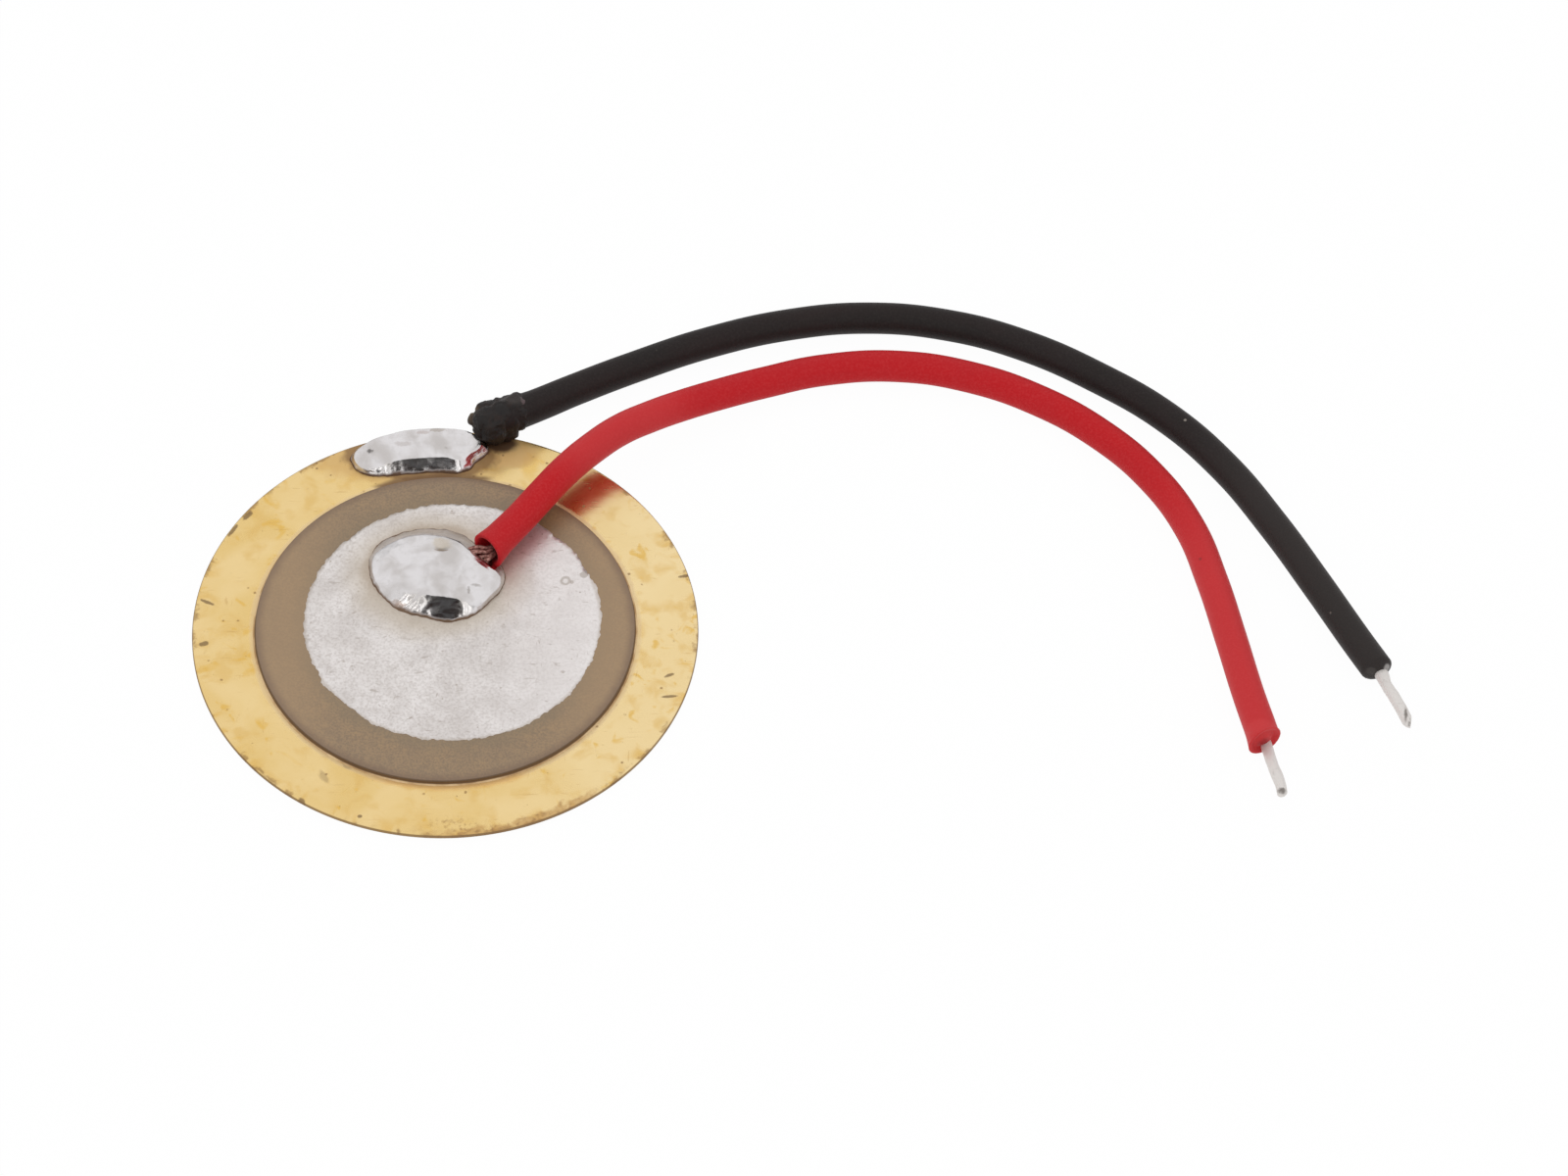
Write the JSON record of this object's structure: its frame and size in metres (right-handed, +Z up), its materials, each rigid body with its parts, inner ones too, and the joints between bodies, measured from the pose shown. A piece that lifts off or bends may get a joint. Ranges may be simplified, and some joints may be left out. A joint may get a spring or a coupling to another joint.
{
  "type": "piezo disc",
  "caption": "Piezo disc: a silvered ceramic disc bonded to a thin brass plate, with soldered red and black leads that end in bare tinned tips.",
  "frame": {"origin": "centre of the brass plate's underside, which lies on the bench", "axes": "+Z up, out of the ceramic's face; +Y to the rear, where the black lead is soldered to the plate's rim; both leads leave towards +X"},
  "size_m": [0.048, 0.0264, 0.0022],
  "materials": {
    "brass": "satin",
    "epoxy": "satin",
    "silver": "matte",
    "piezo_ceramic": "matte",
    "solder": "satin",
    "red_pvc": "satin",
    "black_pvc": "matte",
    "tinned_copper": "satin"
  },
  "bodies": {
    "root": {"brass_plate": "brass", "epoxy_bond": "epoxy", "lower_electrode": "silver", "ceramic_disc": "piezo_ceramic", "upper_electrode": "silver", "centre_solder": "solder", "rim_solder": "solder", "red_insulation": "red_pvc", "red_conductor": "tinned_copper", "black_insulation": "black_pvc", "black_conductor": "tinned_copper"}
  },
  "joints": []
}
